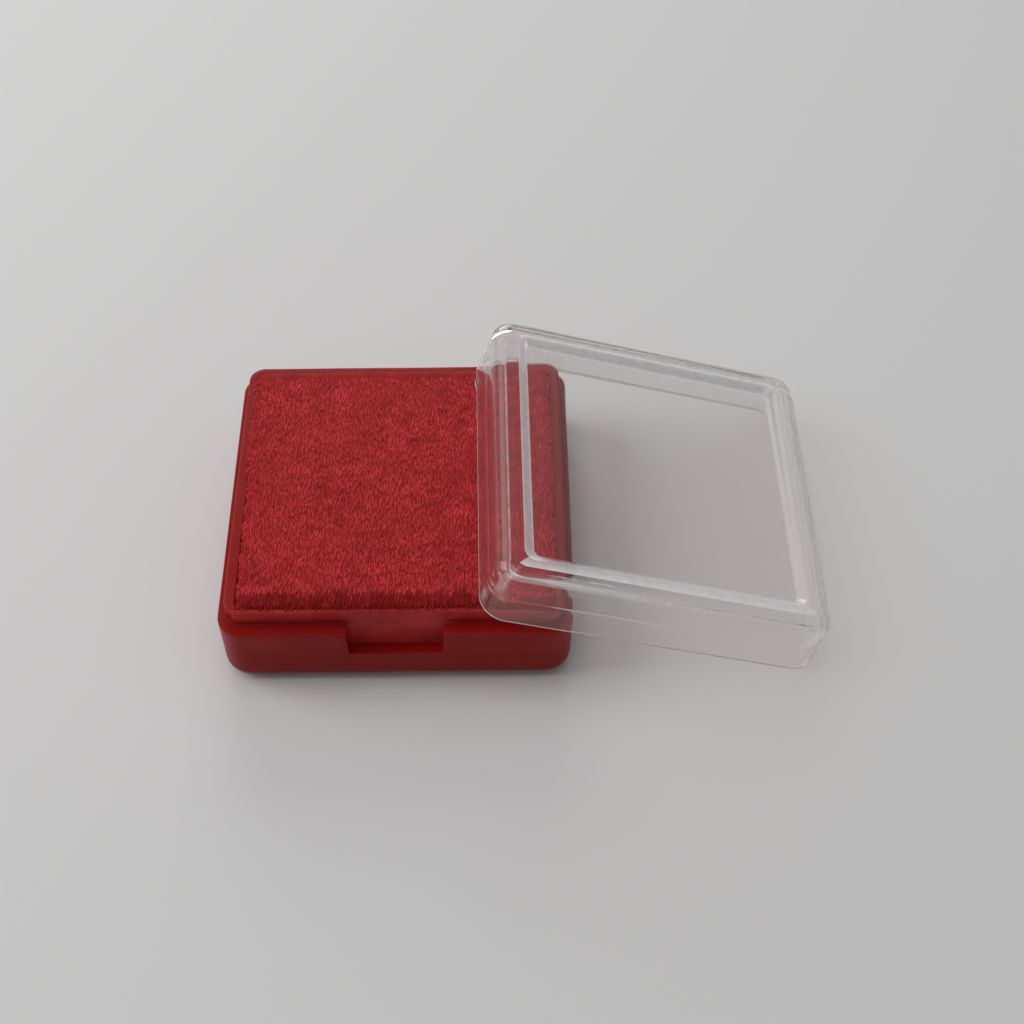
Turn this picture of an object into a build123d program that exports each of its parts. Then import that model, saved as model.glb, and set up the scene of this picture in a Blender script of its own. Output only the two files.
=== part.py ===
"""Small craft ink pad: a moulded tray holding a cloth-covered foam pad, with a loose clear lid.

Millimetres, +Z up.  The origin is the centre of the tray's underside, the tray's thumb notch
faces -Y, and the lid leans against the tray's +X side as it is left while the pad is in use.
"""
import math
import os

from build123d import *

# Tray
case_width = 40.0
case_depth = 41.5
ledge_height = 8.6
wall_draft = 1.5
case_corner_radius = 3.0
foot_rounding = 2.2
ledge_edge_rounding = 0.25
floor_thickness = 1.2

# Collar that the lid closes over, set in from the tray's outer edge
collar_rise = 2.0
side_ledge = 0.8
front_ledge = 1.8
back_ledge = 0.8
collar_wall = 1.4
collar_front_wall = 0.9
collar_corner_radius = 2.2
collar_edge_rounding = 0.3
pocket_draft = 1.0

# Thumb notch in the middle of the front ledge
notch_top_width = 11.0
notch_floor_width = 10.6
notch_floor_height = 5.1

# Covered pad
pad_gap = 0.2
pad_rise = 0.3
pad_corner_radius = 1.4
pad_edge_rounding = 1.2
cloth_thickness = 0.5
card_thickness = 0.8
hem_width = 5.0
sharpest_corner = 0.5

# Lid
lid_width = 40.0
lid_depth = 41.6
lid_height = 7.6
lid_corner_radius = 3.0
lid_draft = 1.5
lid_wall = 1.0
crown_rounding = 1.6
panel_inset_x = 4.4
panel_inset_y = 4.5
panel_recess = 0.7
panel_thickness = 1.1
panel_corner_radius = 0.8
bead_slope = 50.0
bead_rounding = 0.4
rebate_height = 3.3
rebate_wall = 0.6

# How the lid leans: its right bottom edge stands on the table, its skirt straddles the tray
lean_angle = 16.7
lean_yaw = 0.5
lean_centre_x = 28.4
lean_centre_y = 0.24
lean_table_gap = 0.05

# Derived places
collar_top = ledge_height + collar_rise
collar_width = case_width - 2 * side_ledge
collar_depth = case_depth - front_ledge - back_ledge
collar_centre_y = (front_ledge - back_ledge) / 2
pocket_width = collar_width - 2 * collar_wall
pocket_depth = collar_depth - collar_front_wall - collar_wall
pocket_centre_y = collar_centre_y - (collar_wall - collar_front_wall) / 2
pad_top = collar_top + pad_rise
pocket_lean = (collar_top - floor_thickness) * math.tan(math.radians(pocket_draft))
cutter_overrun = 5.0
plane_tolerance = 0.001


def upright_block(width, depth, bottom, top, radius, centre_y=0.0, lean_in=0.0):
    """Block with rounded vertical corners; its sides lean in by lean_in degrees as they rise."""
    outline = Pos(0, centre_y, bottom) * RectangleRounded(width, depth, radius)
    return extrude(outline, amount=top - bottom, taper=lean_in)


def edges_at(shape, height):
    """Edges of a shape that lie in the horizontal plane at a height."""
    return shape.edges().filter_by_position(Axis.Z, height - plane_tolerance, height + plane_tolerance)


def opening_edges(shape, height):
    """Edges round the opening in the flat face that a shape has at a height."""
    faces = shape.faces().filter_by_position(Axis.Z, height - plane_tolerance, height + plane_tolerance)
    return faces.sort_by(SortBy.AREA)[-1].inner_wires()[0].edges()


def make_base_case():
    """Tray moulding: outer wall with a rounded foot, ledge, collar, pad pocket and thumb notch."""
    wall_lean = ledge_height * math.tan(math.radians(wall_draft))
    shell = upright_block(
        case_width - 2 * wall_lean,
        case_depth - 2 * wall_lean,
        0,
        ledge_height,
        case_corner_radius - wall_lean,
        lean_in=-wall_draft,
    )
    shell = fillet(edges_at(shell, 0), foot_rounding)
    shell = fillet(edges_at(shell, ledge_height), ledge_edge_rounding)

    collar = upright_block(
        collar_width, collar_depth, ledge_height / 2, collar_top, collar_corner_radius, collar_centre_y
    )
    collar = fillet(edges_at(collar, collar_top), collar_edge_rounding)

    pocket = upright_block(
        pocket_width - 2 * pocket_lean,
        pocket_depth - 2 * pocket_lean,
        floor_thickness,
        collar_top,
        collar_corner_radius - collar_wall - pocket_lean,
        pocket_centre_y,
        lean_in=-pocket_draft,
    )
    case = shell + collar - pocket
    case = fillet(opening_edges(case, collar_top), collar_edge_rounding)

    notch_back = -case_depth / 2 + front_ledge
    notch_outline = Polyline(
        (-notch_floor_width / 2, notch_floor_height),
        (notch_floor_width / 2, notch_floor_height),
        (notch_top_width / 2, ledge_height),
        (notch_top_width / 2, collar_top + cutter_overrun),
        (-notch_top_width / 2, collar_top + cutter_overrun),
        (-notch_top_width / 2, ledge_height),
        close=True,
    )
    notch_plane = Plane(origin=(0, notch_back, 0), x_dir=(1, 0, 0), z_dir=(0, -1, 0))
    notch = extrude(notch_plane * make_face(notch_outline), amount=cutter_overrun)
    return case - notch


def pad_block(inset, bottom, top, rounded_top=True):
    """One layer of the covered pad, inset from the outside of its cloth."""
    width = pocket_width - 2 * (pad_gap + pocket_lean + inset)
    depth = pocket_depth - 2 * (pad_gap + pocket_lean + inset)
    corner_radius = max(pad_corner_radius - inset, sharpest_corner)
    block = upright_block(width, depth, bottom, top, corner_radius, pocket_centre_y)
    if rounded_top:
        block = fillet(edges_at(block, top), pad_edge_rounding - inset)
    return block


def make_pad_backing():
    """Stiff card under the foam, which the cloth's hem is glued round."""
    bottom = floor_thickness + cloth_thickness
    return pad_block(cloth_thickness, bottom, bottom + card_thickness, rounded_top=False)


def make_ink_sponge():
    """Foam block that holds the ink, between the card and the cloth."""
    bottom = floor_thickness + cloth_thickness + card_thickness
    return pad_block(cloth_thickness, bottom, pad_top - cloth_thickness)


def make_pad_cloth():
    """Pile cloth over the top and sides of the foam, its hem folded under the card."""
    outside = pad_block(0, floor_thickness, pad_top)
    inside = pad_block(cloth_thickness, floor_thickness + cloth_thickness, pad_top - cloth_thickness)
    window = pad_block(
        hem_width, floor_thickness - cutter_overrun, floor_thickness + cutter_overrun / 2, rounded_top=False
    )
    return outside - inside - window


def lid_outer_inset(height):
    """How far the lid's drafted outer wall has leaned in at a height above its rim."""
    return height * math.tan(math.radians(lid_draft))


def make_lid():
    """Clear cap in its own frame: rim at z = 0, bead round a recessed panel, rebated skirt."""
    shell = upright_block(lid_width, lid_depth, 0, lid_height, lid_corner_radius, lean_in=lid_draft)
    shell = fillet(edges_at(shell, lid_height), crown_rounding)

    panel_level = lid_height - panel_recess
    recess = upright_block(
        lid_width - 2 * panel_inset_x,
        lid_depth - 2 * panel_inset_y,
        panel_level,
        panel_level + 2 * panel_recess,
        panel_corner_radius,
        lean_in=-bead_slope,
    )
    shell = shell - recess
    shell = fillet(opening_edges(shell, lid_height), bead_rounding)

    upper_inset = lid_outer_inset(rebate_height) + lid_wall
    upper_cavity = upright_block(
        lid_width - 2 * upper_inset,
        lid_depth - 2 * upper_inset,
        0,
        panel_level - panel_thickness,
        lid_corner_radius - lid_wall,
        lean_in=lid_draft,
    )
    rebate = upright_block(
        lid_width - 2 * rebate_wall,
        lid_depth - 2 * rebate_wall,
        0,
        rebate_height,
        lid_corner_radius - rebate_wall,
        lean_in=lid_draft,
    )
    return shell - upper_cavity - rebate


def lean_lid(lid):
    """Stand the lid's right edge on the table and lay its skirt over the tray's right side."""
    centre_height = lid_width / 2 * math.sin(math.radians(lean_angle)) + lean_table_gap
    place = Pos(lean_centre_x, lean_centre_y, centre_height)
    return place * Rot(0, 0, lean_yaw) * Rot(0, lean_angle, 0) * lid


parts = {
    "base_case": make_base_case(),
    "pad_backing": make_pad_backing(),
    "ink_sponge": make_ink_sponge(),
    "pad_cloth": make_pad_cloth(),
    "lid": lean_lid(make_lid()),
}

os.makedirs("parts", exist_ok=True)
for name, shape in parts.items():
    export_step(shape, f"parts/{name}.step")
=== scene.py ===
"""Looks of a mini craft ink pad: satin red tray, velvet-covered foam pad and loose clear lid.

Shapes are worked out in millimetres, in the CAD model's frame, and become metres in make_piece.
"""
import math
import random

import bmesh
import bpy
import numpy as np
from mathutils import Matrix, Vector, noise


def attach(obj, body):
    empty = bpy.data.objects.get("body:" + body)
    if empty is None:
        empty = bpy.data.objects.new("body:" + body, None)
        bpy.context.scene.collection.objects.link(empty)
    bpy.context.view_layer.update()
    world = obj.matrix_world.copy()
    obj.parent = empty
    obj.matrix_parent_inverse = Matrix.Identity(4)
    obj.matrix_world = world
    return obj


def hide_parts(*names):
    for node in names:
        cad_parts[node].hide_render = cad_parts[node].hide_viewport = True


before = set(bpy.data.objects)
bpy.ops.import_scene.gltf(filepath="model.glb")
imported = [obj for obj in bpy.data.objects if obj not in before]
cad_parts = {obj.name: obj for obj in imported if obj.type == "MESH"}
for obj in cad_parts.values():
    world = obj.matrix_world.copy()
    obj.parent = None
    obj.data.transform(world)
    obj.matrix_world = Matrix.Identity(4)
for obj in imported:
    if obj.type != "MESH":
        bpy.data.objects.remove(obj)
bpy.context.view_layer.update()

MM = 0.001
merge_distance = 1e-7
same_place = 1e-6

# The ripple's noise takes its offsets from this seed, and from the clock without it
ripple_seed = 7
noise.seed_set(ripple_seed)

# Tray
case_half_x = 20.0
case_half_y = 20.75
ledge_height = 8.6
collar_top = 10.6
wall_draft = math.radians(1.5)
case_corner = 3.0
foot_rounding = 2.2
ledge_rounding = 0.14
side_ledge, front_ledge, back_ledge = 0.8, 1.8, 0.8
collar_wall, collar_front_wall = 1.4, 0.9
collar_corner = 1.9
collar_foot_rounding = 0.15
collar_lean = 0.03
rim_rounding = 0.3
pocket_floor = 1.2
pocket_draft = math.radians(1.0)
sharpest_corner = 0.2
notch_floor_half, notch_top_half = 5.3, 5.5
notch_floor = 5.1
edge_bevel = 0.12
bevelled_from = math.radians(50)

# Covered pad
pad_gap = 0.08
pad_half_x = case_half_x - side_ledge - collar_wall - pad_gap
pad_half_y = case_half_y - (front_ledge + back_ledge + collar_wall + collar_front_wall) / 2 - pad_gap
pad_centre_y = (front_ledge - back_ledge + collar_front_wall - collar_wall) / 2
pad_corner = 1.0
pad_rise = 0.42
pad_crown = 0.12
cloth_lift = 0.04

# How far in from each edge the cloth turns down, and how far its edge creeps out over the rim
turn_down = dict(front=2.3, back=1.0, left=1.2, right=1.2)
creep = dict(front=0.5, back=0.5, left=0.05, right=0.35, left_climb=0.6)

# Pile: lengths in millimetres, lean from upright in radians, tints from dark (0) to light (1), the light end
# painting highlights on the tips and the dark end painting shade
column_gap, row_gap = 0.22, 0.5
tuft_length = (0.8, 1.4)
tuft_half_width = (0.07, 0.11)
tuft_widths = (0.8, 1.0, 0.75)
tuft_bends = (0.96, 1.0, 1.02)
steepest, flattest = 1.4, 1.57
edge_band, shorter_at_edge = 0.8, 0.75
fringe_band, fringe_splay = 0.5, 0.5
# The turned-down front band is painted darker as shade
turned_band, turned_waviness, turned_painted_shade = 1.9, 0.9, 0.5
# The tip tint is a painted highlight on each tuft's tip
middle_tint, patch_tint, tip_highlight_tint = 0.5, 0.16, 0.15

# Foam
foam_bottom, foam_top, foam_rounding, foam_inset = 2.55, 10.0, 0.7, 0.55
foam_corner = 1.1

# Lid, in its own frame with the rim at z = 0
lid_half_x = 20.0
lid_half_y = 20.8
lid_height = 7.6
lid_corner = 3.0
lid_draft = math.radians(1.5)
crown_rounding = 1.75
bead_top_inset = 3.12
bead_corner = 1.4
shoulder_width = 1.12
panel_edge = 4.4
panel_level = 6.9
panel_thickness = 1.1
panel_corner = 0.8
tightest_corner = 0.7
rebate_height = 3.3
rebate_wall = 0.6
skirt_wall = 1.0
rim_lip = 0.18
inside_rounding = 0.75
glint_width = 0.1
burr_place, burr_half_width, burr_height, burr_out = 15.6, 0.75, 0.9, 0.24

# How the lid leans on the tray
lean_angle = math.radians(16.7)
lean_yaw = math.radians(0.5)
lean_gap = 0.05
lean_centre = Vector((28.4, 0.24, lid_half_x * math.sin(lean_angle) + lean_gap))
lid_place = (
    Matrix.Translation(lean_centre) @ Matrix.Rotation(lean_yaw, 4, "Z") @ Matrix.Rotation(lean_angle, 4, "Y")
)


# ---------------------------------------------------------------- mesh helpers


def make_piece(name, points, faces, material, body, slot):
    """A piece from points in millimetres that rides on a body."""
    mesh = bpy.data.meshes.new(name)
    mesh.from_pydata([Vector(p) * MM for p in points], [], faces)
    mesh.update()
    piece = bpy.data.objects.new(name, mesh)
    bpy.context.scene.collection.objects.link(piece)
    mesh.materials.append(material)
    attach(piece, body)
    return piece


def point_values(piece, name, values):
    """Stores a value for each point of a piece, for its material to read."""
    layer = piece.data.attributes.new(name, "FLOAT", "POINT")
    layer.data.foreach_set("value", values)


def shade_smooth(piece):
    """Shades every face of a piece smooth."""
    for polygon in piece.data.polygons:
        polygon.use_smooth = True


def tidy_mesh(piece):
    """Merges doubled points, drops flat slivers, turns every face outwards and shades it smooth."""
    mesh = bmesh.new()
    mesh.from_mesh(piece.data)
    bmesh.ops.remove_doubles(mesh, verts=mesh.verts, dist=merge_distance)
    bmesh.ops.dissolve_degenerate(mesh, edges=mesh.edges, dist=merge_distance)
    bmesh.ops.recalc_face_normals(mesh, faces=mesh.faces)
    mesh.to_mesh(piece.data)
    mesh.free()
    shade_smooth(piece)


def even_shading(piece):
    """Keeps flat faces shaded flat beside their rounded edges."""
    normals = piece.modifiers.new("even_shading", "WEIGHTED_NORMAL")
    normals.keep_sharp = True


def outline(half_x, front, back, radius, front_stops=None, side_steps=22, corner_steps=8):
    """Points round a rounded rectangle, anticlockwise from the left end of its front side."""
    straight_x = half_x - radius
    if front_stops is None:
        front_stops = np.linspace(-straight_x, straight_x, side_steps + 1)[1:-1]
    points = [(x, front) for x in front_stops]
    corners = (
        (straight_x, front + radius, -90),
        (straight_x, back - radius, 0),
        (-straight_x, back - radius, 90),
        (-straight_x, front + radius, 180),
    )
    for index, (x, y, start) in enumerate(corners):
        for step in range(corner_steps + 1):
            angle = math.radians(start + 90 * step / corner_steps)
            points.append((x + radius * math.cos(angle), y + radius * math.sin(angle)))
        if index < 3:
            here, there = points[-1], corners[index + 1]
            turn = math.radians(there[2])
            goal = (there[0] + radius * math.cos(turn), there[1] + radius * math.sin(turn))
            for step in range(1, side_steps):
                share = step / side_steps
                points.append((here[0] + (goal[0] - here[0]) * share, here[1] + (goal[1] - here[1]) * share))
    return points


def loft(rings):
    """Points and faces of a skin over rings of equally many points, with a face across each end."""
    count = len(rings[0])
    points = [p for ring in rings for p in ring]
    faces = []
    for a in range(0, (len(rings) - 1) * count, count):
        for j in range(count):
            i = (j + 1) % count
            faces.append((a + j, a + i, a + count + i, a + count + j))
    faces.append(tuple(range(count))[::-1])
    faces.append(tuple((len(rings) - 1) * count + j for j in range(count)))
    return points, faces


def arc(centre, radius, start, end, steps):
    """Points (across, up) of an arc, angles in degrees."""
    angles = [math.radians(start + (end - start) * k / steps) for k in range(steps + 1)]
    return [(centre[0] + radius * math.cos(a), centre[1] + radius * math.sin(a)) for a in angles]


def ripple(point, size, amount, seed=0.0):
    """A moulding's slight waviness."""
    return Vector(point) + noise.noise_vector(Vector(point) / size + Vector((seed, seed, seed))) * amount


def patches(place, size, seed=0.0):
    """Smooth noise from about -1 to 1, in patches of about a size; each seed has its own."""
    x, y, up = (a / b for a, b in zip(place, size))
    return noise.noise(Vector((x, y, up + seed)))


def flat_topped(distance, reach):
    """Falls from 1 to 0 at about a reach, nearly flat within it."""
    return math.exp(-((distance / reach) ** 4))


def clamp(value, low, high):
    """The value kept between two limits."""
    return min(max(value, low), high)


# ---------------------------------------------------------------- materials


def node_material(name):
    """A new material with its node tree and its main shader."""
    material = bpy.data.materials.new(name)
    material.use_nodes = True
    tree = material.node_tree
    shader = tree.nodes["Principled BSDF"]
    return material, tree, shader


def add(tree, kind, **settings):
    """A node with its properties and input defaults set."""
    node = tree.nodes.new(kind)
    for key, value in settings.items():
        if key in node.inputs:
            node.inputs[key].default_value = value
        else:
            setattr(node, key, value)
    return node


def set_inputs(node, values):
    """Sets a node's inputs by name."""
    for name, value in values.items():
        node.inputs[name].default_value = value


def object_noise(tree, scale, detail, roughness, stretch=None):
    """Noise fixed to the object, its scale in features to the metre."""
    place = add(tree, "ShaderNodeTexCoord").outputs["Object"]
    if stretch:
        mapping = add(tree, "ShaderNodeMapping", Scale=stretch)
        tree.links.new(place, mapping.inputs["Vector"])
        place = mapping.outputs["Vector"]
    texture = add(tree, "ShaderNodeTexNoise", Scale=scale, Detail=detail, Roughness=roughness)
    tree.links.new(place, texture.inputs["Vector"])
    return texture.outputs["Fac"]


def point_value(tree, name):
    """The value that point_values stored."""
    return add(tree, "ShaderNodeAttribute", attribute_name=name).outputs["Fac"]


def ramp(tree, source, stops):
    """A colour ramp fed by a socket; stops are (place, colour)."""
    node = tree.nodes.new("ShaderNodeValToRGB")
    while len(node.color_ramp.elements) < len(stops):
        node.color_ramp.elements.new(0.5)
    for element, (place, colour) in zip(node.color_ramp.elements, stops):
        element.position = place
        element.color = (*colour, 1.0)
    tree.links.new(source, node.inputs["Fac"])
    return node.outputs["Color"]


def uneven_gloss(tree, shader, source, smooth, rough):
    """Roughness that wanders between two values."""
    stops = ((0.35, (smooth,) * 3), (0.75, (rough,) * 3))
    tree.links.new(ramp(tree, source, stops), shader.inputs["Roughness"])


def bumpy(tree, shader, height, strength, distance):
    """A bump from a socket; the distance is in metres."""
    bump = add(tree, "ShaderNodeBump", Strength=strength, Distance=distance)
    tree.links.new(height, bump.inputs["Height"])
    tree.links.new(bump.outputs["Normal"], shader.inputs["Normal"])


def scaled_sum(tree, source, scale, added):
    """A socket times a number, plus another socket."""
    node = add(tree, "ShaderNodeMath", operation="MULTIPLY_ADD")
    tree.links.new(source, node.inputs[0])
    node.inputs[1].default_value = scale
    tree.links.new(added, node.inputs[2])
    return node.outputs["Value"]


def mixed_shaders(tree, share, first, second):
    """One shader fading into another by a socket, from the first (0) to the second (1)."""
    mix = add(tree, "ShaderNodeMixShader")
    tree.links.new(share, mix.inputs["Fac"])
    tree.links.new(first, mix.inputs[1])
    tree.links.new(second, mix.inputs[2])
    return mix.outputs["Shader"]


def red_plastic():
    """Deep red moulded plastic: slightly translucent, satin, rubbed paler where it is worn, and painted paler
    as a sheen on the collar's front and the notch's back wall.
    """
    material, tree, shader = node_material("case_plastic_detail")
    deep_red, bright_red = (0.23, 0.0035, 0.0018), (0.26, 0.0045, 0.0026)
    cloud = object_noise(tree, scale=90.0, detail=2.0, roughness=0.5)
    colour = ramp(tree, cloud, ((0.3, deep_red), (0.7, bright_red)))
    # Paler red, for wear and for a painted sheen on the collar's front and the notch's back wall
    pale_wear_and_sheen = add(tree, "ShaderNodeMixRGB", Color2=(0.6, 0.05, 0.047, 1.0))
    tree.links.new(point_value(tree, "wear_and_sheen"), pale_wear_and_sheen.inputs["Fac"])
    tree.links.new(colour, pale_wear_and_sheen.inputs["Color1"])
    tree.links.new(pale_wear_and_sheen.outputs["Color"], shader.inputs["Base Color"])
    smudge = object_noise(tree, scale=260.0, detail=5.0, roughness=0.6)
    uneven_gloss(tree, shader, smudge, smooth=0.33, rough=0.42)
    grain = object_noise(tree, scale=2600.0, detail=3.0, roughness=0.6)
    bumpy(tree, shader, grain, strength=0.1, distance=0.00002)
    set_inputs(
        shader,
        {
            "Subsurface Weight": 0.5,
            "Subsurface Radius": (0.0016, 0.0001, 0.00006),
            "Subsurface Scale": 1.0,
            "IOR": 1.5,
            "Specular IOR Level": 0.15,
        },
    )
    return material


def frosting_and_highlights(tree):
    """The skin of frosted plastic, which also paints highlights, and how much of it shows at each place."""
    speckle = object_noise(tree, scale=900.0, detail=3.0, roughness=0.6)
    patchy = add(tree, "ShaderNodeMapRange")
    set_inputs(patchy, {"From Min": 0.3, "From Max": 0.7, "To Min": 0.88, "To Max": 1.12})
    tree.links.new(speckle, patchy.inputs["Value"])
    amount = add(tree, "ShaderNodeMath", operation="MULTIPLY", use_clamp=True)
    tree.links.new(point_value(tree, "frost_and_highlight"), amount.inputs[0])
    tree.links.new(patchy.outputs["Result"], amount.inputs[1])
    white = add(tree, "ShaderNodeBsdfPrincipled")
    set_inputs(white, {"Base Color": (0.84, 0.83, 0.825, 1.0), "Roughness": 0.5})
    return white.outputs["BSDF"], amount.outputs["Value"]


def light_let_through(tree, surface):
    """Lets light pass straight through a shader, a little dimmed, so that it casts no black shadow."""
    through = add(tree, "ShaderNodeBsdfTransparent", Color=(0.922, 0.903, 0.893, 1.0))
    path = add(tree, "ShaderNodeLightPath")
    lighting = add(tree, "ShaderNodeMath", operation="MAXIMUM")
    tree.links.new(path.outputs["Is Shadow Ray"], lighting.inputs[0])
    tree.links.new(path.outputs["Is Diffuse Ray"], lighting.inputs[1])
    return mixed_shaders(tree, lighting.outputs["Value"], surface, through.outputs["BSDF"])


def clear_plastic():
    """Clear moulded plastic: slightly wavy and smeared, frosted where the mould was textured and worn, and
    painted white in lines and bands as highlights.
    """
    material, tree, shader = node_material("clear_plastic_detail")
    set_inputs(shader, {"Base Color": (0.965, 0.953, 0.948, 1.0), "Transmission Weight": 1.0, "IOR": 1.5})
    wave = object_noise(tree, scale=170.0, detail=3.0, roughness=0.5)
    bumpy(tree, shader, wave, strength=0.12, distance=0.0002)
    smear = object_noise(tree, scale=320.0, detail=6.0, roughness=0.65)
    uneven_gloss(tree, shader, smear, smooth=0.03, rough=0.12)
    white, amount = frosting_and_highlights(tree)
    frosted_and_highlighted = mixed_shaders(tree, amount, shader.outputs["BSDF"], white)
    surface = light_let_through(tree, frosted_and_highlighted)
    tree.links.new(surface, tree.nodes["Material Output"].inputs["Surface"])
    return material


def velvet(name, dark, light):
    """Inked velvet: short front-to-back dashes of lighter tips, which are painted highlights, over a darker
    ground, which is painted shade, in soft patches.
    """
    material, tree, shader = node_material(name)
    highlight_dashes = object_noise(tree, scale=2600.0, detail=2.0, roughness=0.5, stretch=(1.0, 0.3, 1.0))
    patch = object_noise(tree, scale=520.0, detail=3.0, roughness=0.6)
    layers = scaled_sum(tree, highlight_dashes, 0.8, patch)
    middle_level = 0.81
    shift = add(tree, "ShaderNodeMath", operation="SUBTRACT")
    tree.links.new(point_value(tree, "tint"), shift.inputs[0])
    shift.inputs[1].default_value = middle_level
    blend = scaled_sum(tree, layers, 0.9, shift.outputs["Value"])
    middle = tuple((a + b) / 2 for a, b in zip(dark, light))
    colour = ramp(tree, blend, ((0.05, dark), (0.5, middle), (0.95, light)))
    tree.links.new(colour, shader.inputs["Base Color"])
    set_inputs(
        shader,
        {
            "Roughness": 0.6,
            "Sheen Weight": 0.05,
            "Sheen Roughness": 0.4,
            "Sheen Tint": (1.0, 0.25, 0.27, 1.0),
            "Specular IOR Level": 0.1,
        },
    )
    return material


def foam():
    """Open foam soaked with ink, darkest in its pores."""
    material, tree, shader = node_material("ink_foam_detail")
    skin, pore = (0.3, 0.012, 0.012), (0.1, 0.004, 0.004)
    place = add(tree, "ShaderNodeTexCoord")
    pores = add(tree, "ShaderNodeTexVoronoi", Scale=1800.0)
    tree.links.new(place.outputs["Object"], pores.inputs["Vector"])
    colour = ramp(tree, pores.outputs["Distance"], ((0.05, skin), (0.5, pore)))
    tree.links.new(colour, shader.inputs["Base Color"])
    bumpy(tree, shader, pores.outputs["Distance"], strength=0.8, distance=0.0002)
    set_inputs(shader, {"Roughness": 0.7})
    return material


def card():
    """Fibrous card stained by the ink."""
    material, tree, shader = node_material("backing_card_detail")
    stained, paler = (0.3, 0.05, 0.04), (0.5, 0.16, 0.12)
    fibre = object_noise(tree, scale=2400.0, detail=5.0, roughness=0.65)
    tree.links.new(ramp(tree, fibre, ((0.3, stained), (0.7, paler))), shader.inputs["Base Color"])
    bumpy(tree, shader, fibre, strength=0.4, distance=0.0001)
    set_inputs(shader, {"Roughness": 0.85})
    return material


# ---------------------------------------------------------------- tray

# How far the tray is painted pale, for wear and for a painted sheen, from not at all (0) to fully (1)
wear_and_sheen_amounts = dict(collar_front=0.85, collar=0.08, notch=0.7, wall=0.22)


def wall_inset(height):
    """How far the drafted outer wall has leaned in at a height below the ledge."""
    return (ledge_height - height) * math.tan(wall_draft)


def notch_half(height):
    """Half the notch's width at a height, which widens upwards."""
    share = (height - notch_floor) / (ledge_height - notch_floor)
    return notch_floor_half + (notch_top_half - notch_floor_half) * clamp(share, 0.0, 1.0)


def tray_profile():
    """Rings from under the foot, up the wall, over the ledge and collar, and down into the pocket.

    Each ring is (side inset, front inset, back inset, corner radius, height).
    """
    rings = []

    def even(inset, radius, height):
        """A ring set in alike on every side."""
        rings.append((inset, inset, inset, radius, height))

    def set_in(share, extra, height, radius, forward=0.0):
        """A ring between the ledge's edge (share 0) and the collar's wall (share 1)."""
        edge = ledge_rounding
        ledges = (side_ledge, front_ledge, back_ledge)
        side, front, back = (edge + (ledge - edge) * share + extra for ledge in ledges)
        rings.append((side, front - forward, back, radius, height))

    underside_shares = (0.1, 0.4, 0.7)
    for share in underside_shares:
        even(case_half_x * (1 - share), case_corner * share, 0.0)
    for across, up in arc((foot_rounding, foot_rounding), foot_rounding, -90, -180, 9):
        even(across + wall_inset(up), case_corner - across, up)
    wall_heights = (3.0, 3.8, 4.5, notch_floor - 0.25, notch_floor, 5.8, 6.6, 7.4, 8.0)
    for up in wall_heights:
        even(wall_inset(up), case_corner, up)
    for across, up in arc((ledge_rounding, ledge_height - ledge_rounding), ledge_rounding, 180, 90, 5):
        even(across, case_corner - across, up)

    outer_radius = case_corner - ledge_rounding
    for share in (0.3, 0.6):
        set_in(share, 0, ledge_height, outer_radius + (collar_corner - outer_radius) * share)
    turn = collar_foot_rounding
    for across, up in arc((-turn, ledge_height + turn), turn, -90, 0, 3):
        set_in(1, across, up, collar_corner - across)
    set_in(1, collar_lean, (ledge_height + collar_top) / 2, collar_corner)
    for across, up in arc((rim_rounding, collar_top - rim_rounding), rim_rounding, 180, 90, 5):
        set_in(1, across, up, collar_corner - across)
    thinner_front = collar_wall - collar_front_wall
    for across, up in arc((collar_wall - rim_rounding, collar_top - rim_rounding), rim_rounding, 90, 0, 5):
        set_in(1, across, up, collar_corner - across, thinner_front)
    pocket_heights = (9.0, 6.0, 3.0, pocket_floor)
    for up in pocket_heights:
        extra = collar_wall + (collar_top - up) * math.tan(pocket_draft)
        set_in(1, extra, up, collar_corner - extra, thinner_front)
    return rings


def tray_wear_and_sheen(point):
    """How far the plastic is painted pale at a place, for wear and for a painted sheen.

    It is palest on the collar's front and the notch's back wall, wear where the lid slides together with a
    painted sheen, slightly pale round the rest of the collar, and scuffed in soft patches on the outer wall.
    """
    x, y, up = point
    below_ledge = ledge_height - 0.4
    if up < below_ledge and abs(x) > notch_top_half:
        scuff_height, scuff_reach = 6.6, 1.5
        scuffed = max(patches(point, (5.0, 5.0, 2.0), seed=8.0) + 0.25, 0.0)
        return wear_and_sheen_amounts["wall"] * flat_topped(up - scuff_height, scuff_reach) * scuffed
    behind_ledge = y + case_half_y - front_ledge
    front = -0.1 < behind_ledge < 0.35
    patch = 0.75 + 0.5 * patches(point, (3.0, 3.0, 1.5))
    # The notch wall and the collar's front are painted pale as a sheen on top of their wear
    if front and abs(x) < notch_top_half:
        return wear_and_sheen_amounts["notch"] * patch
    fade_height = 0.3
    above = clamp((up - ledge_height - 0.1) / fade_height, 0.0, 1.0)
    return wear_and_sheen_amounts["collar_front" if front else "collar"] * above * patch


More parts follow.
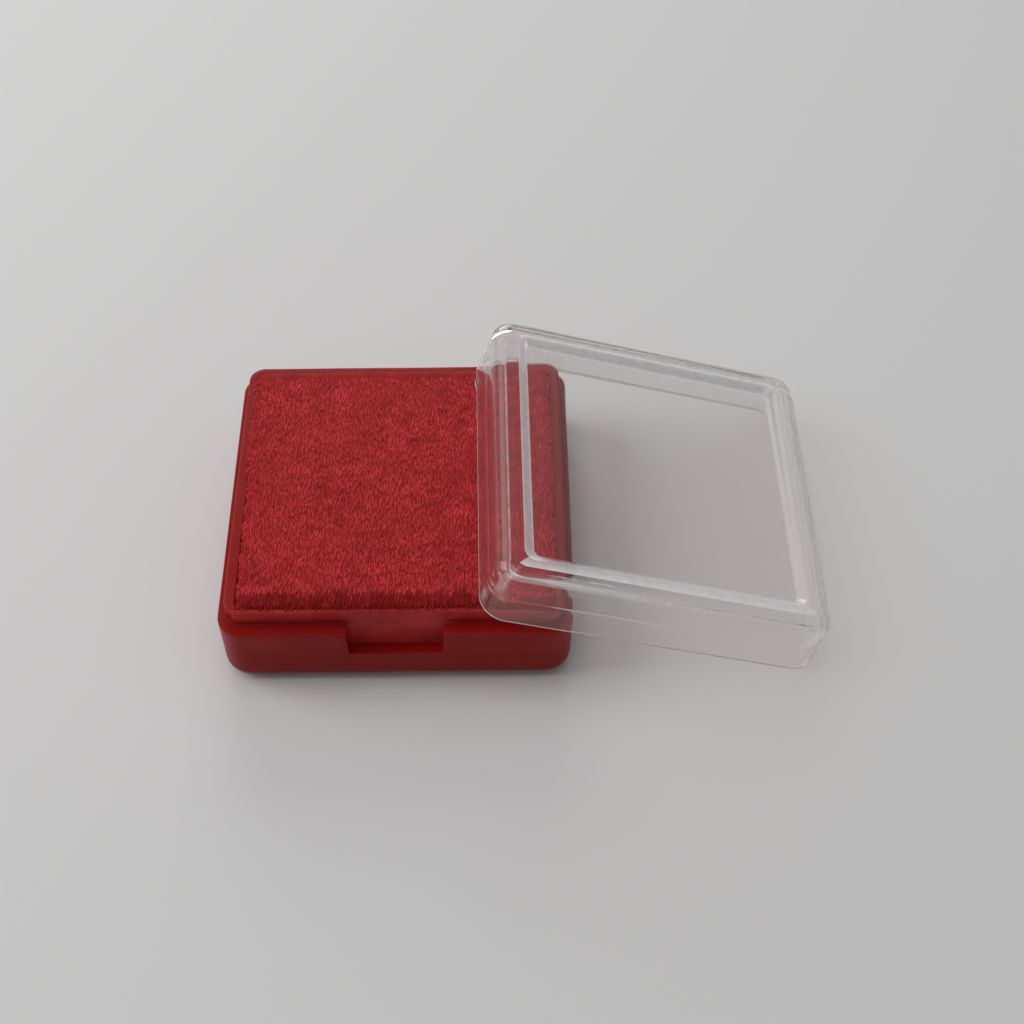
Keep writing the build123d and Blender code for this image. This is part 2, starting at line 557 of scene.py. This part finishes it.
def make_tray(material):
    """The tray's skin, with the thumb notch cut into the middle columns of its front side."""
    profile = tray_profile()
    columns_beside, columns_inside = 8, 10
    beside_shares = np.linspace(0, 1, columns_beside + 1)[1:]
    inside_shares = np.linspace(-1, 1, columns_inside + 1)
    heights = [ring[4] for ring in profile]
    start = next(k for k, up in enumerate(heights) if abs(up - notch_floor) < same_place)
    edge_top = next(
        k for k, ring in enumerate(profile) if k >= start and abs(ring[0] - ledge_rounding) < same_place
    )
    rings_over_ledge = 6
    collar_foot = edge_top + rings_over_ledge
    collar_front = -case_half_y + front_ledge
    notch_edge = -case_half_y + wall_inset(notch_floor)
    widest_share = 0.6
    rings = []
    for k, (side, front, back, radius, up) in enumerate(profile):
        radius = max(radius, sharpest_corner)
        half_x, low, high = case_half_x - side, -case_half_y + front, case_half_y - back
        straight = half_x - radius
        half = min(notch_half(up), straight * widest_share)
        left = [-straight + (straight - half) * s for s in beside_shares]
        inside = [half * s for s in inside_shares]
        stops = left + inside + [-x for x in reversed(left)]
        ring = [(x, y, up) for x, y in outline(half_x, low, high, radius, stops)]
        if start < k < collar_foot:
            if k <= edge_top:
                along = (k - start) / (edge_top - start)
                y, z = notch_edge + (collar_front - notch_edge) * along, notch_floor
            else:
                along = (k - edge_top) / (collar_foot - edge_top)
                y, z = collar_front, notch_floor + (heights[collar_foot] - notch_floor) * along
            for j, share in enumerate(inside_shares, len(left)):
                ring[j] = (share * notch_half(z), y, z)
        rings.append([ripple(p, 9.0, 0.025) for p in ring])
    piece = make_piece("tray_shell", *loft(rings), material, "base", "case_plastic")
    point_values(piece, "wear_and_sheen", [tray_wear_and_sheen(p) for ring in rings for p in ring])
    tidy_mesh(piece)
    bevel = piece.modifiers.new("edge_rounding", "BEVEL")
    bevel.width = edge_bevel * MM
    bevel.segments = 3
    bevel.limit_method = "ANGLE"
    bevel.angle_limit = bevelled_from
    even_shading(piece)
    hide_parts("base_case")
    return piece


# ---------------------------------------------------------------- lid

# How frosted the lid's skin is, from clear (0) to ground (1), and by side where it differs round it; the same
# white also paints highlights: the bead's bright bands and lines, the glints, the crown's sparkle and the
# rim's light edge
haze_and_highlights = dict(panel=0.006, ridge=0.014, inner_lip=0.015, rim=0.6, bead_highlight_line=0.9)
side_haze_and_highlights = dict(
    slope=dict(left=0.68, front=0.1, right=0.22, back=0.45),
    shoulder=dict(left=0.014, front=0.5, right=0.2, back=0.3),
    crown=dict(left=0.015, front=0.015, right=0.25, back=0.2),
    sparkle=dict(left=0.015, front=0.015, right=0.25, back=0.2),
    skirt=dict(left=0.015, front=0.015, right=0.25, back=0.04),
    turn=dict(left=0.18, front=0.4, right=0.18, back=0.18),
    turn_edge=dict(left=0.014, front=0.4, right=0.014, back=0.014),
    glint=dict(left=0.4, front=0.4, right=0.015, back=0.015),
)
# What is added by the bead's top on the slope, and by the crown on the shoulder: painted highlight bands
# along the front and back of the bead
haze_and_highlight_rise = dict(slope=dict(front=0.4, back=0.3), shoulder=dict(front=0.4))
# Shares of the shoulder's width where the front's clear ridge starts and the back's painted highlight line
# ends
ridge_from, bead_highlight_to = 0.96, 0.21


def lid_profile():
    """Rings (inset, corner radius, height, haze) from the panel's top, over the bead, round the rim
    and back up inside to the panel's underside.

    The haze, which also carries painted highlights, is a value, or a (kind, share) for
    moulded_haze_and_highlights. Rings close together keep its steps crisp.
    """
    lean = math.tan(lid_draft)
    close = 0.03
    panel_border = panel_edge + 0.15
    panel_shares = (0.9, 0.6, 0.3)
    rings = []

    def ring(inset, up, frost_and_highlight, radius=None):
        """A ring whose corners follow the outer wall's, unless they have a radius of their own."""
        radius = lid_corner - inset if radius is None else radius
        rings.append((inset, max(radius, tightest_corner), up, frost_and_highlight))

    def panel_rings(shares, up):
        """Rings of the flat panel, at shares of the way in from its edge to the middle."""
        for share in shares:
            ring(panel_edge + (lid_half_x - panel_edge) * share, up, haze_and_highlights["panel"], panel_corner)

    panel_rings(panel_shares, panel_level)
    ring(panel_border, panel_level, haze_and_highlights["panel"], panel_corner)
    ring(panel_edge + close, panel_level, haze_and_highlights["panel"], panel_corner)
    slope_steps = 8
    for k in range(slope_steps + 1):
        share = k / slope_steps
        up = panel_level + (lid_height - panel_level) * (3 * share**2 - 2 * share**3)
        across = panel_edge + (bead_top_inset - panel_edge) * share
        ring(across, up, ("slope", share), panel_corner + (bead_corner - panel_corner) * share)
    shoulder_shares = (0.02, 0.2, 0.23, 0.6, 0.95, 0.98)
    for share in shoulder_shares:
        ring(bead_top_inset - share * shoulder_width, lid_height, ("shoulder", share), bead_corner)
    crown_centre = (lid_height * lean + crown_rounding, lid_height - crown_rounding)
    # A narrow strip of the crown is painted white as the front's sparkling highlight
    crown_arcs = ((90, 106, 2, "crown"), (107, 110, 1, "sparkle"), (111, 180, 10, "crown"))
    for start, end, steps, kind in crown_arcs:
        for across, up in arc(crown_centre, crown_rounding, start, end, steps):
            ring(across, up, (kind, 0))
    skirt_heights = (5.4, 5.0, 4.6, 4.2, 3.8, rebate_height, 2.9, 2.5, 2.1, 1.7, 1.3, 0.9, 0.5, 0.3)
    for up in skirt_heights:
        ring(up * lean, up, ("skirt", 0))

    rim_top = 0.26
    # The rim is frosted and also painted pale as a light edge of highlight
    ring(rim_top * lean, rim_top, haze_and_highlights["rim"])
    for across, up in arc((rim_lip, rim_lip), rim_lip, 180, 270, 4):
        ring(across, up, haze_and_highlights["rim"])
    for across, up in arc((rebate_wall - rim_lip, rim_lip), rim_lip, 270, 360, 3):
        ring(across, up, haze_and_highlights["inner_lip"])

    rebate_step = 0.06
    for up in (0.5, 1.2, 2.4, rebate_height - 0.05):
        ring(rebate_wall + up * lean, up, ("skirt", 0))
    ring(rebate_height * lean + skirt_wall - rebate_step, rebate_height, ("skirt", 0))
    ceiling = panel_level - panel_thickness
    for up in (rebate_height + rebate_step, 4.2, ceiling - inside_rounding - 0.1):
        ring(skirt_wall + up * lean, up, ("skirt", 0))
    turn_centre = (skirt_wall + ceiling * lean + inside_rounding, ceiling - inside_rounding)
    # On the front the inner turn is painted pale as a thin light line of highlight
    turn_arcs = ((180, 122, 5, "skirt"), (118, 96, 4, "turn"), (94, 91, 1, "turn_edge"))
    for start, end, steps, kind in turn_arcs:
        for across, up in arc(turn_centre, inside_rounding, start, end, steps):
            ring(across, up, (kind, 0))
    # A thin ring under the ceiling is painted white as a glint line, streaked on the left side
    glint_inset = turn_centre[0] + 0.02
    ring(glint_inset, ceiling, ("glint", 0))
    ring(glint_inset + glint_width, ceiling, ("glint", 0))
    for inset in (glint_inset + glint_width + close, 3.0, panel_border):
        ring(inset, ceiling, haze_and_highlights["panel"])
    panel_rings(reversed(panel_shares), ceiling)
    return rings


def corner_wear(x, y, up):
    """Frosted patches by the lid's corners, most where it is handled, at the front left one."""
    wear_reach, far, below_top = 5.0, 6.0, lid_height - 0.02
    away = min(abs(abs(x) - lid_half_x), far) + min(abs(abs(y) - lid_half_y), far)
    if away > wear_reach or up > below_top:
        return 0.0
    if x > 0 or y > 0:
        strength, threshold = 0.4, 0.02
        patch = patches((x, y, up), (0.7, 0.7, 1.6), seed=4.0)
        return strength * max(patch - threshold, 0.0) * (1 - away / wear_reach)
    round_corner = math.degrees(math.atan2(y + lid_half_y - lid_corner, x + lid_half_x - lid_corner))
    # Each scuff's angle round the corner and its spread, its height and reach, and its strength
    scuffs = ((-132, 13, 5.2, 1.5, 0.22), (-166, 12, 1.5, 0.9, 0.2), (-118, 10, 3.3, 0.35, 0.15))
    total = 0.0
    for angle, spread, height, reach, strength in scuffs:
        total += strength * flat_topped(round_corner - angle, spread) * flat_topped(up - height, reach)
    return total * (0.8 + 1.4 * patches((round_corner, up, 0), (4.0, 0.4, 1), seed=1.0))


def moulded_haze_and_highlights(kind, share, x, y):
    """Haze and painted highlights of the lid's parts that differ round it: whitest on the bead's left and
    front sides.

    On the slope the share runs up from the panel's edge, on the shoulder outwards from the slope.
    """
    gaps = dict(left=lid_half_x + x, front=lid_half_y + y, right=lid_half_x - x, back=lid_half_y - y)
    side = min(gaps, key=gaps.get)
    value = side_haze_and_highlights[kind][side] + haze_and_highlight_rise.get(kind, {}).get(side, 0.0) * share
    streak = patches((x, y, 0), (0.3, 0.3, 1), seed=2.0)
    # On the front, the slope's white band is a painted highlight along the bead, joined round the front left
    # corner
    if (kind, side) == ("slope", "front"):
        join_place, join_reach, join_strength = 4.2, 1.2, 0.5
        value += join_strength * math.exp(-(((gaps["left"] - join_place) / join_reach) ** 2))
    if (kind, side) == ("shoulder", "front") and share > ridge_from:
        value = haze_and_highlights["ridge"]
    # A white line along the back shoulder is a painted highlight
    if (kind, side) == ("shoulder", "back") and share < bead_highlight_to:
        value = haze_and_highlights["bead_highlight_line"]
    # The front crown's sparkle is a painted highlight, broken by the streaks
    if (kind, side) == ("sparkle", "front"):
        sparkle_place, sparkle_reach = 10.0, 4.2
        strength = max(0.75 + 1.8 * streak, 0.05)
        value += strength * flat_topped(gaps["left"] - sparkle_place, sparkle_reach)
    # The left glint line is a painted highlight, streaked
    if (kind, side) == ("glint", "left"):
        value += 0.3 * streak
    return value


def burr(point):
    """The nub left on the left rim where the moulding was broken off its runner."""
    x, y, up = point
    if x >= -lid_half_x + 0.5:
        return point
    return x - burr_out * flat_topped(y - burr_place, burr_half_width) * max(1 - up / burr_height, 0.0), y, up


def make_lid(material):
    """The lid's skin, leaned in place, with its frosting and painted highlights stored point by point."""
    rings, frost_and_highlight = [], []
    for inset, radius, up, ring_haze_and_highlight in lid_profile():
        half_x, half_y = lid_half_x - inset, lid_half_y - inset
        border = outline(half_x, -half_y, half_y, min(radius, half_x * 0.9), side_steps=60, corner_steps=20)
        ring = [ripple(burr((x, y, up)), 11.0, 0.03, seed=7.0) for x, y in border]
        for p in ring:
            value = moulded_haze_and_highlights(*ring_haze_and_highlight, p.x, p.y) if isinstance(ring_haze_and_highlight, tuple) else ring_haze_and_highlight
            frost_and_highlight.append(value + (corner_wear(p.x, p.y, up) if inset < bead_top_inset else 0.0))
        rings.append([lid_place @ p for p in ring])
    piece = make_piece("clear_lid", *loft(rings), material, "lid", "clear_plastic")
    point_values(piece, "frost_and_highlight", frost_and_highlight)
    tidy_mesh(piece)
    even_shading(piece)
    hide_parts("lid")
    return piece


# ---------------------------------------------------------------- covered pad


def swell(away, reach):
    """Share of full height at a distance in from an edge that turns down over a reach."""
    share = clamp(away / reach, 0.0, 1.0)
    return math.sqrt(1 - (1 - share) ** 2)


def edge_overhang(x, y):
    """How far the cloth's edge stands outside the pocket, where it has crept over the rim."""
    if abs(y - pad_centre_y) > abs(x) * pad_half_y / pad_half_x:
        if y > 0:
            return creep["back"] + 0.12 * patches((x, 0, 0), (3.0, 1, 1), seed=11)
        return creep["front"] + 0.12 * patches((x, 0, 0), (2.5, 1, 1), seed=12)
    if x > 0:
        return creep["right"] + 0.1 * patches((y, 0, 0), (3.0, 1, 1), seed=13)
    climb_from, climb_reach = 1.5, 1.6
    climb = 1 / (1 + math.exp(-(y - climb_from) / climb_reach))
    return creep["left"] + creep["left_climb"] * climb + 0.12 * patches((y, 0, 0), (2.5, 1, 1), seed=14)


def pad_point(u, v):
    """A point of the cloth's top from its place (-1 to 1) across and along the pad."""
    x, y = u * pad_half_x, v * pad_half_y
    corner_x, corner_y = pad_half_x - pad_corner, pad_half_y - pad_corner
    if abs(x) > corner_x and abs(y) > corner_y:
        dx, dy = abs(x) - corner_x, abs(y) - corner_y
        reach = math.hypot(dx, dy)
        x = math.copysign(corner_x + dx * max(dx, dy) / reach, x)
        y = math.copysign(corner_y + dy * max(dx, dy) / reach, y)
    out = edge_overhang(x, y + pad_centre_y)
    rim_share = 0.1
    rim = max(max(abs(u), abs(v)) - (1 - rim_share), 0.0) / rim_share
    at_corner = abs(abs(u) - abs(v)) < rim_share
    length = math.hypot(x, y) or 1.0
    x += x / length * out * rim * (1.3 if at_corner else 1.0)
    y += y / length * out * rim
    return Vector((x, y + pad_centre_y, pad_height(u, v, x, y + pad_centre_y)))


def pad_height(u, v, x, y):
    """Height of the cloth: a low crown with dents, turned down most at the front."""
    front_reach = turn_down["front"] + 0.5 * patches((x, 0, 0), (1.9, 1, 1), seed=5.0)
    front = swell((v + 1) * pad_half_y, front_reach)
    back = swell((1 - v) * pad_half_y, turn_down["back"])
    left = swell((u + 1) * pad_half_x, turn_down["left"])
    right = swell((1 - u) * pad_half_x, turn_down["right"])
    full = pad_rise + pad_crown * (1 - u * u) * (1 - v * v)
    dent = 0.05 * patches((x, y, 0), (6, 6, 1), seed=3.0) + 0.03 * patches((x, y, 0), (1.6, 2.0, 1), seed=9.0)
    return collar_top + cloth_lift + (full + dent) * front * back * left * right


def cloth_stops(steps):
    """Places from -1 to 1 across the cloth, closer together towards its edges."""
    edge_crowding = 0.35
    return [
        math.sin(math.pi / 2 * k) * edge_crowding + k * (1 - edge_crowding)
        for k in np.linspace(-1, 1, steps + 1)
    ]


def make_cloth(material):
    """The cloth as one sheet: a fine top with turned-down sides and a hem under the card."""
    steps = 170
    stops = cloth_stops(steps)
    nap_height = 0.02
    index = {}
    points, faces = [], []
    for i, u in enumerate(stops):
        for j, v in enumerate(stops):
            index[i, j] = len(points)
            p = pad_point(u, v)
            p.z += nap_height * patches((p.x, p.y, 0), (0.25, 0.6, 1))
            points.append(p)
    for i in range(steps):
        for j in range(steps):
            faces.append((index[i, j], index[i + 1, j], index[i + 1, j + 1], index[i, j + 1]))
    border = (
        [index[i, 0] for i in range(steps)]
        + [index[steps, j] for j in range(steps)]
        + [index[i, steps] for i in range(steps, 0, -1)]
        + [index[0, j] for j in range(steps, 0, -1)]
    )
    # Shares of the cloth's half width, and heights, of its turned-down sides and then of its hem
    sides = ((0.999, 10.52), (0.992, 10.2), (0.988, 9.0), (0.985, 7.0), (0.983, 4.5), (0.98, 2.2))
    hem = ((0.978, 1.7), (0.965, 1.4), (0.93, 1.32), (0.85, 1.3), (0.75, 1.3))
    edge = border
    flat_edge = []
    for b in border:
        x, y = points[b].x, points[b].y - pad_centre_y
        stretch = max(abs(x) / pad_half_x, abs(y) / pad_half_y, 1.0)
        flat_edge.append((x / stretch, y / stretch))
    for share, up in sides + hem:
        ring = [len(points) + k for k in range(len(border))]
        points += [Vector((x * share, pad_centre_y + y * share, up)) for x, y in flat_edge]
        for k in range(len(edge)):
            n = (k + 1) % len(edge)
            faces.append((edge[k], edge[n], ring[n], ring[k]))
        edge = ring
    piece = make_piece("velvet_cover", points, faces, material, "base", "pad_velvet")
    # The cloth's ground is tinted darker than the pile as painted shade between the tufts
    ground_painted_shade_tint, tint_range, patch_size = 0.25, 0.2, 1.7
    point_values(piece, "tint", [ground_painted_shade_tint + tint_range * noise.noise(p / patch_size) for p in points])
    tidy_mesh(piece)
    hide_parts("pad_cloth")
    return piece


def lay_of_pile(x, y):
    """How the pile lies at a place: its heading, how flat it lies, and how light it looks."""
    towards_front = -math.pi / 2
    place = (x, y, 0)
    heading = towards_front + 0.06 * patches(place, (4.0, 4.0, 1), seed=20.0)
    flat = 1.51 + 0.04 * patches(place, (1.5, 1.5, 1), seed=30.0)
    patch = patches(place, (1.3, 1.1, 1), seed=50.0) + 0.6 * patches(place, (5, 4, 1), seed=60.0)
    return heading, flat, patch


def tuft_spine(root, ahead, flat, long):
    """Four points along a tuft that bends over as it leaves the cloth."""
    root_depth = 0.03
    spine = [root - Vector((0, 0, root_depth))]
    for bend in tuft_bends:
        step = ahead * math.sin(flat * bend) + Vector((0, 0, math.cos(flat * bend)))
        spine.append(spine[-1] + step * long / 3)
    return spine


def tuft_faces(first):
    """Faces of a tuft: three cross-sections of three points each, and its tip."""
    faces = []
    for a in (first, first + 3):
        faces += [(a, a + 1, a + 4, a + 3), (a + 1, a + 2, a + 5, a + 4)]
    a = first + 6
    return faces + [(a, a + 1, a + 3), (a + 1, a + 2, a + 3)]


def make_pile(material):
    """Short pile: tufts in loose columns, each a bent tapering clump with a raised back, painted darker at
    root and sides as shade and lighter at the tip as a highlight.
    """
    random.seed(41)
    columns = int(2 * pad_half_x / column_gap)
    rows = int(2 * pad_half_y / row_gap)
    outermost = 0.995
    points, faces, tints = [], [], []
    for c in range(columns):
        for r in range(rows + 1):
            u = -1 + 2 * (c + 0.5 + random.gauss(0, 0.28)) / columns
            v = -1 + 2 * (r + random.uniform(0, 1)) / rows
            u, v = clamp(u, -outermost, outermost), clamp(v, -outermost, outermost)
            root = pad_point(u, v)
            heading, flat, patch = lay_of_pile(root.x, root.y)
            heading += random.gauss(0, 0.06)
            flat = clamp(flat + random.gauss(0, 0.02), steepest, flattest)
            near_edge = min((1 - abs(u)) * pad_half_x, (1 - abs(v)) * pad_half_y)
            turned_from = turned_band + turned_waviness * patches((root.x, 0, 0), (1.4, 1, 1), seed=70.0)
            turned = (v + 1) * pad_half_y < turned_from
            long = random.uniform(*tuft_length) * (shorter_at_edge if near_edge < edge_band else 1.0)
            half = random.uniform(*tuft_half_width)
            # Tufts in the turned-down front band are painted darker as shade
            spread, shade = (0.03, turned_painted_shade) if turned else (0.08, 0.0)
            tint = middle_tint + patch_tint * patch + random.gauss(0, spread) - shade
            ahead = Vector((math.cos(heading), math.sin(heading), 0))
            if near_edge < fringe_band and not turned:
                outward = Vector((root.x / pad_half_x, (root.y - pad_centre_y) / pad_half_y, 0)).normalized()
                ahead = (ahead + outward * random.uniform(0.0, fringe_splay)).normalized()
            across = Vector((-ahead.y, ahead.x, 0))
            spine = tuft_spine(root, ahead, flat, long)
            faces += tuft_faces(len(points))
            back, sink = Vector((0, 0, half * 0.06)), Vector((0, 0, half * 0.2))
            for k, (p, width) in enumerate(zip(spine[:3], tuft_widths)):
                side = across * half * width
                points += [p - side - sink, p + back, p + side - sink]
                # Painted shade at the root and along the sides, lighter towards the raised back and the tip
                # as painted highlight
                tints += [tint - 0.12 + 0.08 * k, tint - 0.08 + 0.08 * k, tint - 0.12 + 0.08 * k]
            points.append(spine[3])
            tints.append(tint + tip_highlight_tint)
    piece = make_piece("velvet_pile", points, faces, material, "base", "pad_velvet")
    point_values(piece, "tint", [clamp(value, 0.0, 1.0) for value in tints])
    shade_smooth(piece)
    return piece


def make_foam(material):
    """The foam block inside the cloth."""
    inward_shares = (0.2, 0.5, 0.8)
    inward_reach, flat_corner = 16, 0.7
    rings = [(share * inward_reach, flat_corner, foam_bottom) for share in reversed(inward_shares)]
    for up in (foam_bottom, 4.0, 6.0, 8.0):
        rings.append((foam_inset, foam_corner, up))
    for across, up in arc((foam_rounding + foam_inset, foam_top - foam_rounding), foam_rounding, 180, 90, 4):
        rings.append((across, foam_corner, up))
    rings += [(share * inward_reach, flat_corner, foam_top) for share in inward_shares]
    skins = []
    for inset, radius, up in rings:
        half_x, half_y = pad_half_x - inset, pad_half_y - inset
        border = outline(half_x, -half_y, half_y, min(radius, half_x / 2))
        skins.append([ripple((x, y + pad_centre_y, up), 3.0, 0.05) for x, y in border])
    piece = make_piece("foam_block", *loft(skins), material, "base", "ink_foam")
    tidy_mesh(piece)
    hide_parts("ink_sponge")
    return piece


# ---------------------------------------------------------------- stage


def area_light(name, place, aim, size, power):
    """A soft light; places and sizes in metres."""
    data = bpy.data.lights.new(name, "AREA")
    data.shape = "RECTANGLE"
    data.size, data.size_y = size
    data.energy = power
    lamp = bpy.data.objects.new(name, data)
    lamp.location = place
    lamp.rotation_mode = "QUATERNION"
    lamp.rotation_quaternion = (Vector(aim) - Vector(place)).to_track_quat("-Z", "Y")
    bpy.context.scene.collection.objects.link(lamp)


def make_floor():
    """A matt pale floor for the pad to stand on."""
    material, tree, shader = node_material("stage_floor")
    set_inputs(shader, {"Base Color": (0.7, 0.69, 0.683, 1.0), "Roughness": 0.9, "Specular IOR Level": 0.1})
    mesh = bpy.data.meshes.new("stage_floor")
    half = 3.0
    corners = [(-half, -half, 0), (half, -half, 0), (half, half, 0), (-half, half, 0)]
    mesh.from_pydata(corners, [], [(0, 1, 2, 3)])
    mesh.materials.append(material)
    floor = bpy.data.objects.new("stage_floor", mesh)
    bpy.context.scene.collection.objects.link(floor)


def make_lights():
    """A soft room with a box light above, a window behind and a fill light on the left."""
    world = bpy.data.worlds.new("studio")
    world.use_nodes = True
    set_inputs(world.node_tree.nodes["Background"], {"Color": (0.97, 0.98, 1.0, 1.0), "Strength": 0.3})
    bpy.context.scene.world = world
    area_light("softbox", place=(-0.05, 0.0, 0.56), aim=(0.01, 0, 0), size=(0.34, 0.3), power=0.5)
    area_light("window", place=(-0.06, 0.62, 0.27), aim=(0.0, 0, 0), size=(0.42, 0.3), power=1.5)
    area_light("side_fill", place=(-0.46, 0.06, 0.33), aim=(0.0, 0, 0), size=(0.4, 0.4), power=1.55)


def make_camera():
    """Looks down at the pad from in front, slightly to its right; place in millimetres."""
    place = Vector((12.0555, -141.2838, 167.3158))
    pitch, yaw, roll = 0.853, -0.0089, -0.0038
    data = bpy.data.cameras.new("camera")
    data.lens = 62.77
    data.sensor_width = 36.0
    data.clip_start, data.clip_end = 0.01, 10.0
    camera = bpy.data.objects.new("camera", data)
    camera.matrix_world = (
        Matrix.Translation(place * MM)
        @ Matrix.Rotation(yaw, 4, "Z")
        @ Matrix.Rotation(math.pi / 2 - pitch, 4, "X")
        @ Matrix.Rotation(roll, 4, "Z")
    )
    bpy.context.scene.collection.objects.link(camera)
    bpy.context.scene.camera = camera


make_camera()
make_floor()
make_lights()
bpy.context.scene.view_settings.view_transform = "Standard"

make_tray(red_plastic())
cloth = make_cloth(velvet("pad_velvet_detail", dark=(0.24, 0.0025, 0.0025), light=(0.48, 0.012, 0.013)))
pile = make_pile(velvet("pad_pile_detail", dark=(0.21, 0.002, 0.002), light=(0.66, 0.04, 0.05)))
foam_block = make_foam(foam())
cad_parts["pad_backing"].material_slots[0].material = card()
make_lid(clear_plastic())
